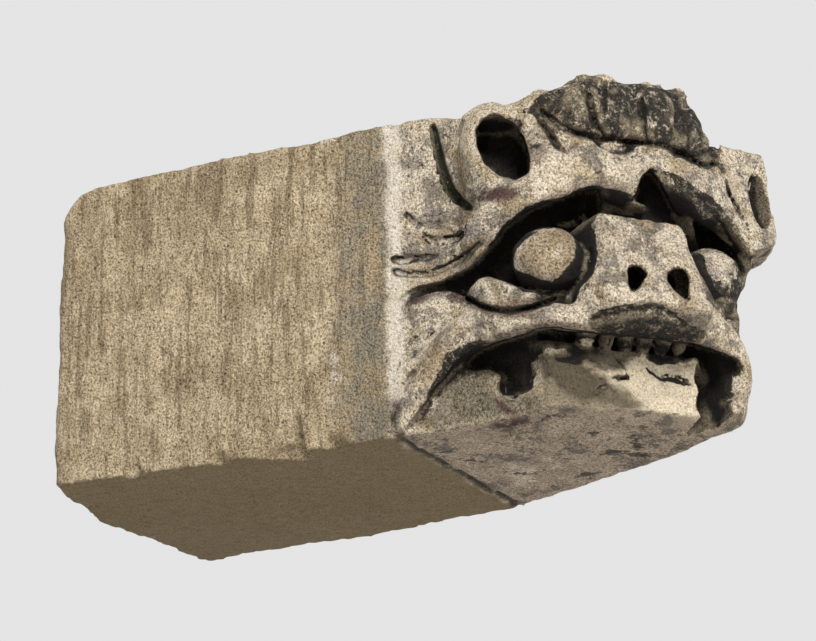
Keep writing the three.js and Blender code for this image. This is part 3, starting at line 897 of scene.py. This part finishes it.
# Spots where the crust has gone and the sandy stone shows, each as across, up and radius.
bareSpots = [
    (-23.1, 48.0, 9.6), (-35.2, 65.1, 4.0), (-6.9, 30.8, 3.6), (-20.3, 96.5, 5.5), (-19.3, 65.4, 5.0),
    (-62.0, 9.0, 4.5), (-57.0, 15.0, 3.5),
]
# Traces of red paint, as lines on the sheet.
paintLines = {
    "channelRim": [
        (-71.6, 21.8, 0.52), (-71.8, 27.1, 0.78), (-70, 29.6, 0.65), (-62.5, 32.4, 0.65),
        (-57.9, 33.8, 0.65), (-53.1, 33.4, 0.65), (-48.9, 31.7, 0.78), (-45.3, 30.2, 0.78),
        (-38.3, 29, 0.78), (-30.5, 31, 0.65),
    ],
    "lidPaint": [
        (-48.8, 34.1, 0.52), (-46.5, 31.3, 1.04), (-42.2, 31.1, 1.04), (-33.5, 33.1, 1.3),
        (-25.6, 36, 1.04), (-20.1, 38.1, 0.52),
    ],
    "lipPaint": [
        (-64.3, -2.6, 1.04), (-62.4, 1.6, 0.78), (-58.7, 6.2, 0.78), (-55, 10.9, 0.78), (-50.1, 15.8, 0.78),
        (-44.5, 19.5, 0.65),
    ],
    "earPaint": [
        (-24.1, 90.8, 0.52), (-22, 87.8, 0.91), (-19.6, 84.2, 1.3), (-16.5, 82.7, 0.78),
        (-11.7, 87.2, 0.52),
    ],
    "templePaint": [(-42.7, 65.5, 1.56), (-37.3, 67, 1.82), (-31.9, 68, 0.78)],
    "wallPaint": [(-72.5, 9.5, 0.78), (-73.5, 1.9, 1.3), (-71.3, -1.4, 0.78)],
    "jawPaint": [(-41.5, 3.8, 0.78), (-38.6, 0.6, 1.04), (-33.8, -1.4, 1.3), (-41.1, -3.1, 1.04)],
}


# Where each stain, and each patch of painted shade and painted light, lies, from the place on the stone.
# Kept on the mesh for the material.
def paintStainsAndShade(piece):
    mesh = piece.data
    flat = np.empty(len(mesh.vertices) * 3, np.float32)
    mesh.vertices.foreach_get("co", flat)
    p = flat.reshape(-1, 3).astype(float) / unit
    mesh.vertices.foreach_get("normal", flat)
    normal = flat.reshape(-1, 3).astype(float)
    y = p[:, 1]
    head = headCoords(p)
    forward, up = head.T[1:]
    across, rise = onSheet(head)
    sway = 1.6 * fractal(p, (5, 5, 5), 71, 3)
    onHead = softStep(wallY - y + 0.5 * sway, -1.8, 1.4)
    toView = np.array(seenFrom) - head
    toView /= np.linalg.norm(toView, axis=1)[:, None]
    turned = headCoords(p + normal) - head
    seen = onHead * softStep((turned * toView).sum(1), -0.34, -0.12)  # the far side stays plain
    face = seen * softStep(forward, 48, 56)
    underside = softStep(-normal[:, 2], 0.55, 0.9)
    # How open it is at three distances off the surface: 1 in the open, less in a hollow.
    open3, open8, open14 = (carve(p + step * normal, False) / step for step in (3.0, 8.0, 14.0))
    ridge = softStep(1 + carve(p - 2.6 * normal, False) / 2.6, 0.10, 0.42)
    # How shut in each point is; the finish darkens it as painted shade in hollows and creases.
    hollow = np.clip(1 - 0.5 * open3 - 0.5 * open8, 0, 1)
    # How deep each point lies in a recess; the finish makes it nearly black as painted shade.
    deep = onHead * softStep(0.5 * open8 + 0.5 * open14, 0.62, 0.22) * softStep(normal[:, 2], 0.9, 0.4)

    def within(outline, start, end, ragged=0.0):
        return softStep(outlineDistance(across, rise, outline) + ragged * sway, start, end)

    def along(line, start, end, ragged):
        return softStep(lineDistance(across, rise, line) + ragged * sway, start, end)

    # The bored holes are painted dark inside too: painted shade.
    for name in ("nearEarLine", "notchLine", "nearNostrilLine", "farNostrilLine"):
        deep = np.maximum(deep, within(hollowLines[name], 0.2, -1.2) * seen)
    # The teeth are painted dark: painted shade under the lip.
    teeth = within(crustAndShadeLines["teethShade"], 1.2, -0.4) * softStep(forward, 90, 93)
    deep = np.maximum(deep, 0.46 * teeth * seen)
    sootAndShade = np.max([within(outline, 1.4, -0.8, 0.6) for outline in crustAndShadeLines.values()], axis=0)
    sootAndShade = sootAndShade * face * softStep(normal[:, 2], 0.98, 0.85)
    spots = [np.hypot(across - a, rise - b) - radius for a, b, radius in bareSpots]
    bare = softStep(np.min(spots, axis=0) + 0.8 * sway, 1.2, -1.2) * face
    red = np.max([along(line, 1.2, -0.6, 0.4) for line in paintLines.values()], axis=0) * face
    onSide = softStep(normal[:, 0], -0.5, -0.9)
    stain = softStep(y + 2.4 * sway, wallY + 24, wallY + 8) * onSide
    stain = stain * softStep(y + sway, wallY - 1, wallY + 3)
    lime = softStep(np.abs(y - wallY + 1.2 + 0.6 * sway), 3.6, 1.2) * onSide * softStep(up, 8, 14)
    joint = softStep(np.abs(y - wallY + 0.4 + 0.3 * sway), 2.0, 0.5) * softStep(normal[:, 2], 0.1, -0.3)
    moss = along(markLines["mossGroove"], 1.6, -0.6, 0.6) * face
    tongueTop = softStep(rise, 24.5, 22.5) * softStep(across, -29, -27) * softStep(across, 24.5, 23)
    # The top of the tongue: newly broken stone, and painted light where light falls on it.
    freshAndLit = tongueTop * softStep(up, 0.8, 3.5) * softStep(forward, 86, 90)
    gumShade = within(jawShade, 1.5, -1.5, 1.0) * seen * (1 - underside) * softStep(normal[:, 2], 0.9, 0.6)
    shade = freshAndLit * within(tongueShade, 1.5, -1.5, 1.0)
    masks = {
        "onHead": onHead, "underside": underside, "hollow": hollow, "deep": deep, "sootAndShade": sootAndShade,
        "red": red, "stain": stain, "lime": lime, "moss": moss, "bare": bare, "freshAndLit": freshAndLit,
        "shade": shade, "gumShade": gumShade, "ridge": ridge, "joint": joint,
    }
    for name, values in masks.items():
        layer = mesh.attributes.new(name, "FLOAT", "POINT")
        layer.data.foreach_set("value", values.astype(np.float32))
    print("stains set")


# Small helpers for shader nodes.
class Nodes:
    def __init__(self, material):
        self.tree = material.node_tree
        self.place = 0

    def make(self, kind, sockets=None, **values):
        node = self.tree.nodes.new(kind)
        node.location = (-200 * (self.place % 12), -260 * (self.place // 12))
        self.place += 1
        for key, value in values.items():
            setattr(node, key, value)
        for key, value in (sockets or {}).items():
            self.fill(node.inputs[key], value)
        return node

    def fill(self, socket, value):
        if isinstance(value, bpy.types.NodeSocket):
            self.tree.links.new(value, socket)
        else:
            socket.default_value = value

    def mask(self, name):
        return self.make("ShaderNodeAttribute", attribute_name=name).outputs["Fac"]

    def noise(self, where, scale, detail=4.0, rough=0.55, stretch=None):
        if stretch:
            where = self.make("ShaderNodeMapping", {"Vector": where, "Scale": stretch}).outputs["Vector"]
        sockets = {"Vector": where, "Scale": scale, "Detail": detail, "Roughness": rough}
        return self.make("ShaderNodeTexNoise", sockets).outputs["Fac"]

    def speckle(self, where, scale, start, end):
        node = self.make("ShaderNodeTexVoronoi", {"Vector": where, "Scale": scale})
        return self.ramp(node.outputs["Distance"], start, end)

    def ramp(self, value, start, end):
        sockets = {"Value": value, "From Min": start, "From Max": end}
        return self.make("ShaderNodeMapRange", sockets, interpolation_type="SMOOTHSTEP").outputs["Result"]

    def math(self, how, a, b=0.0):
        return self.make("ShaderNodeMath", {0: a, 1: b}, operation=how).outputs[0]

    def less(self, value):
        return self.math("SUBTRACT", 1.0, value)

    def times(self, *values):
        result = values[0]
        for value in values[1:]:
            result = self.math("MULTIPLY", result, value)
        return result

    def mix(self, amount, base, over, how="MIX"):
        sockets = {"Factor": amount, "A": base, "B": over}
        return self.make("ShaderNodeMix", sockets, data_type="RGBA", blend_type=how).outputs["Result"]


# The stone's own colours, and among them painted shade for the tail's underside, hollows, recesses, the
# shaded tongue and the jaw under the lip, and painted light on the tongue.
stoneColours = {
    "sand": (0.46, 0.355, 0.215, 1),
    "sandDark": (0.20, 0.145, 0.08, 1),
    "sandPale": (0.70, 0.57, 0.38, 1),
    "bed": (0.125, 0.089, 0.042, 1),
    "bare": (0.48, 0.365, 0.22, 1),
    "wash": (0.97, 0.85, 0.675, 1),
    "greyCrust": (0.21, 0.185, 0.15, 1),
    "mauve": (0.33, 0.275, 0.245, 1),
    "jaw": (0.58, 0.45, 0.33, 1),
    "paintRed": (0.085, 0.036, 0.038, 1),
    "sootAndShade": (0.022, 0.018, 0.013, 1),
    "recessShade": (0.012, 0.009, 0.006, 1),
    "stain": (0.20, 0.185, 0.145, 1),
    "lime": (0.90, 0.81, 0.67, 1),
    "moss": (0.050, 0.055, 0.022, 1),
    "freshAndLit": (0.97, 0.83, 0.60, 1),
    "tongueShadow": (0.075, 0.055, 0.029, 1),
    "gumShade": (0.20, 0.175, 0.115, 1),
}


finish = {
    "roughLow": 0.84,
    "roughHigh": 0.98,
    "specular": 0.22,
    "bump": 0.0042,  # metres
    "crackScale": 170,  # cracks in the film on the jaw
}


def stoneFinish():
    material = bpy.data.materials.new("weatheredSandstone")
    material.use_nodes = True
    n = Nodes(material)
    shader = n.tree.nodes["Principled BSDF"]
    where = n.make("ShaderNodeTexCoord").outputs["Object"]
    c = stoneColours
    onHead, hollow, ridge = n.mask("onHead"), n.mask("hollow"), n.mask("ridge")
    onTail = n.less(onHead)
    worn = n.less(ridge)

    # Blots where the noise lies between two levels.
    def blot(scale, detail, rough, start, end):
        return n.ramp(n.noise(where, scale, detail, rough), start, end)

    broad = n.noise(where, 11, 6, 0.6)
    patches = n.noise(where, 36, 9, 0.7)
    blots = n.noise(where, 75, 10, 0.75)
    grain = n.noise(where, 560, 5, 0.75)
    grit = n.noise(where, 1000, 3, 0.7)
    strokes = n.noise(where, 130, 7, 0.7, (1.0, 1.0, 0.12))
    pits = n.speckle(where, 210, 0.12, 0.30)
    pepper = blot(700, 5, 0.8, 0.54, 0.60)
    flakes = n.ramp(n.noise(where, 34, 6, 0.6, (1.0, 1.0, 0.6)), 0.665, 0.69)

    colour = n.mix(n.ramp(patches, 0.36, 0.66), c["sand"], c["sandPale"])

    # Lays one more colour over what is there.
    def coat(amount, name, how="MIX"):
        nonlocal colour
        colour = n.mix(amount, colour, c[name], how)

    coat(n.times(n.ramp(strokes, 0.50, 0.60), onTail, 0.62), "sandDark")
    coat(n.times(flakes, onTail, 0.7), "lime")
    coat(n.times(n.ramp(broad, 0.5, 0.70), 0.35), "sandDark")
    coat(n.times(n.mask("stain"), n.ramp(patches, 0.36, 0.56), 0.8), "stain")

    coat(n.times(onHead, blot(42, 10, 0.7, 0.42, 0.50), 0.8), "wash")
    coat(n.times(onHead, worn, blot(48, 10, 0.72, 0.49, 0.56), 0.75), "greyCrust")
    coat(n.times(onHead, blot(30, 10, 0.7, 0.56, 0.60), 0.65), "mauve")
    coat(n.times(onHead, worn, blot(66, 10, 0.8, 0.565, 0.61), 0.9), "sootAndShade")
    coat(n.times(n.mask("bare"), n.ramp(blots, 0.36, 0.5), 0.8), "bare")
    # Painted shade: the jaw's side under the arch of the lip is darkened, with cracks in its film below.
    coat(n.times(n.mask("gumShade"), 0.75), "gumShade")
    film = {"Vector": where, "Scale": finish["crackScale"]}
    cracks = n.make("ShaderNodeTexVoronoi", film, feature="DISTANCE_TO_EDGE")
    coat(n.times(n.mask("gumShade"), n.ramp(cracks.outputs["Distance"], 0.07, 0.02), 0.6), "sandDark")
    # The tongue's top is painted pale tan: newly broken stone, brightened as painted light.
    coat(n.times(n.mask("freshAndLit"), n.ramp(broad, 0.25, 0.5), 0.9), "freshAndLit")
    # Painted shade: the shaded part of the tongue is painted dark.
    coat(n.times(n.mask("shade"), 0.93), "tongueShadow")

    # Painted shade: the underside of the tail is painted dark brown.
    bedAmount = n.times(n.mask("underside"), onTail, 0.92)
    coat(bedAmount, "bed")
    jawStreaks = n.noise(where, 70, 10, 0.72, (0.3, 0.45, 1.0))
    jawAmount = n.times(n.mask("underside"), onHead)
    coat(n.times(jawAmount, 0.8), "jaw")
    coat(n.times(jawAmount, n.ramp(jawStreaks, 0.52, 0.57), 0.85), "greyCrust")
    coat(n.times(jawAmount, n.ramp(jawStreaks, 0.44, 0.38), 0.6), "wash")
    coat(n.times(jawAmount, n.ramp(patches, 0.57, 0.62), 0.8), "sootAndShade")

    coat(n.times(n.mask("red"), n.ramp(blots, 0.34, 0.46), 0.92), "paintRed")
    ragged = n.times(n.math("SUBTRACT", n.noise(where, 110, 9, 0.75), 0.5), 1.7)
    # Black crust from the outlines, and painted shade on the teeth.
    sootAndShadeEdge = n.ramp(n.math("ADD", n.mask("sootAndShade"), ragged), 0.42, 0.52)
    specks = blot(210, 8, 0.8, 0.60, 0.53)
    coat(n.times(sootAndShadeEdge, n.ramp(blots, 0.37, 0.44), n.math("ADD", 0.25, n.times(specks, 0.72))), "sootAndShade")
    # Painted shade: the hollows and creases of the head are darkened nearly black.
    hollowEdge = n.ramp(n.math("ADD", hollow, n.times(ragged, 0.75)), 0.34, 0.52)
    coat(n.times(onHead, hollowEdge, 0.88), "sootAndShade")
    coat(n.times(n.mask("joint"), n.ramp(blots, 0.3, 0.5), 0.9), "sootAndShade")
    coat(n.times(n.mask("lime"), n.ramp(blots, 0.30, 0.42), 0.97), "lime")
    # Painted shade: deep recesses, bored holes and the teeth are made nearly black.
    deepEdge = n.ramp(n.math("ADD", n.mask("deep"), n.times(ragged, 0.5)), 0.25, 0.5)
    coat(n.times(onHead, deepEdge, 0.97), "recessShade")
    coat(n.times(n.mask("moss"), n.ramp(grain, 0.40, 0.5)), "moss")
    coat(n.times(ridge, onHead, 0.35), "sandPale")
    clean = n.times(n.math("MAXIMUM", n.mask("freshAndLit"), n.mask("lime")), 0.45)
    rough = n.less(n.math("MAXIMUM", n.times(bedAmount, 0.35), clean))
    uneven = blot(26, 7, 0.65, 0.38, 0.60)
    coat(n.times(pepper, rough, n.math("ADD", 0.52, n.times(uneven, 0.5))), "sandDark", "MULTIPLY")
    coat(n.times(n.ramp(grain, 0.54, 0.42), rough, 0.7), "sandDark", "MULTIPLY")
    coat(n.times(n.less(pits), rough, 0.5), "sandDark", "MULTIPLY")
    n.fill(shader.inputs["Base Color"], colour)

    levels = {"Value": patches, "To Min": finish["roughLow"], "To Max": finish["roughHigh"]}
    gloss = n.make("ShaderNodeMapRange", levels)
    n.fill(shader.inputs["Roughness"], gloss.outputs["Result"])
    n.fill(shader.inputs["Specular IOR Level"], finish["specular"])

    height = n.times(grain, 1.3)
    for part in (n.times(grit, 0.4), n.times(pits, 0.5), n.times(strokes, onTail, 1.2), n.times(blots, 1.8)):
        height = n.math("ADD", height, part)
    height = n.times(height, n.math("ADD", 1.0, n.times(onHead, 0.5)))
    calm = n.less(n.times(bedAmount, 0.4))
    bump = n.make("ShaderNodeBump", {"Distance": finish["bump"], "Strength": calm, "Height": height})
    n.fill(shader.inputs["Normal"], bump.outputs["Normal"])
    print("finish made")
    return material


# The picture's viewpoint: from below and from the near side, in degrees and metres.
viewpoint = {
    "azimuth": -66.18,
    "elevation": -18.95,
    "roll": -1.41,
    "distance": 1.4513,
    "aim": (-0.1705, -0.3477, -0.0450),
    "lens": 88.24,
}


def makeCamera():
    data = bpy.data.cameras.new("camera")
    data.lens = viewpoint["lens"]
    data.sensor_width = 36
    camera = placed("camera", data)
    a, e = math.radians(viewpoint["azimuth"]), math.radians(viewpoint["elevation"])
    back = Vector((math.sin(a) * math.cos(e), -math.cos(a) * math.cos(e), math.sin(e)))
    look = (-back).to_track_quat("-Z", "Y").to_matrix()
    spin = Matrix.Rotation(math.radians(viewpoint["roll"]), 3, "Z")
    camera.matrix_world = (look @ spin).to_4x4()
    camera.location = Vector(viewpoint["aim"]) + back * viewpoint["distance"]
    bpy.context.scene.camera = camera


studio = {
    "floorDrop": 1.25,
    "floorSize": 14.0,
    "floorColour": (0.82, 0.82, 0.81, 1),
    "skyColour": (1.0, 1.0, 1.0, 1),
    "skyStrength": 0.78,
    "keyPower": 180,
    "keySize": 0.9,
    "keyPlace": (-2.3, -1.9, 1.35),
    "fillPower": 14,
    "fillSize": 1.6,
    "fillPlace": (-0.2, -2.6, -0.3),
    "lightAim": (-0.02, -0.32, 0.0),
}


def areaLight(name):
    data = bpy.data.lights.new(name, "AREA")
    data.energy = studio[name + "Power"]
    data.size = studio[name + "Size"]
    lamp = placed(name, data)
    lamp.location = studio[name + "Place"]
    aim = Vector(studio["lightAim"]) - lamp.location
    lamp.rotation_euler = aim.to_track_quat("-Z", "Y").to_euler()


def makeStudio():
    half = studio["floorSize"] / 2
    corners = [(-half, -half, 0), (half, -half, 0), (half, half, 0), (-half, half, 0)]
    mesh = bpy.data.meshes.new("floor")
    mesh.from_pydata(corners, [], [(0, 1, 2, 3)])
    floor = placed("floor", mesh)
    floor.location.z = -studio["floorDrop"]
    paper = bpy.data.materials.new("paleFloor")
    paper.use_nodes = True
    sheen = paper.node_tree.nodes["Principled BSDF"].inputs
    sheen["Base Color"].default_value = studio["floorColour"]
    sheen["Roughness"].default_value = 0.9
    mesh.materials.append(paper)
    world = bpy.data.worlds.new("studioSky")
    world.use_nodes = True
    sky = world.node_tree.nodes["Background"].inputs
    sky["Color"].default_value = studio["skyColour"]
    sky["Strength"].default_value = studio["skyStrength"]
    bpy.context.scene.world = world
    areaLight("key")
    areaLight("fill")
    bpy.context.scene.view_settings.view_transform = "Standard"
    print("studio set")


makeCamera()
makeStudio()
corbelStone = makeStone()
paintStainsAndShade(corbelStone)
corbelStone.data.materials.append(stoneFinish())
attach(corbelStone, "root")
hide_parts("corbel")

print("cad box", [round(v, 4) for v in (*cadLow, *cadHigh)])
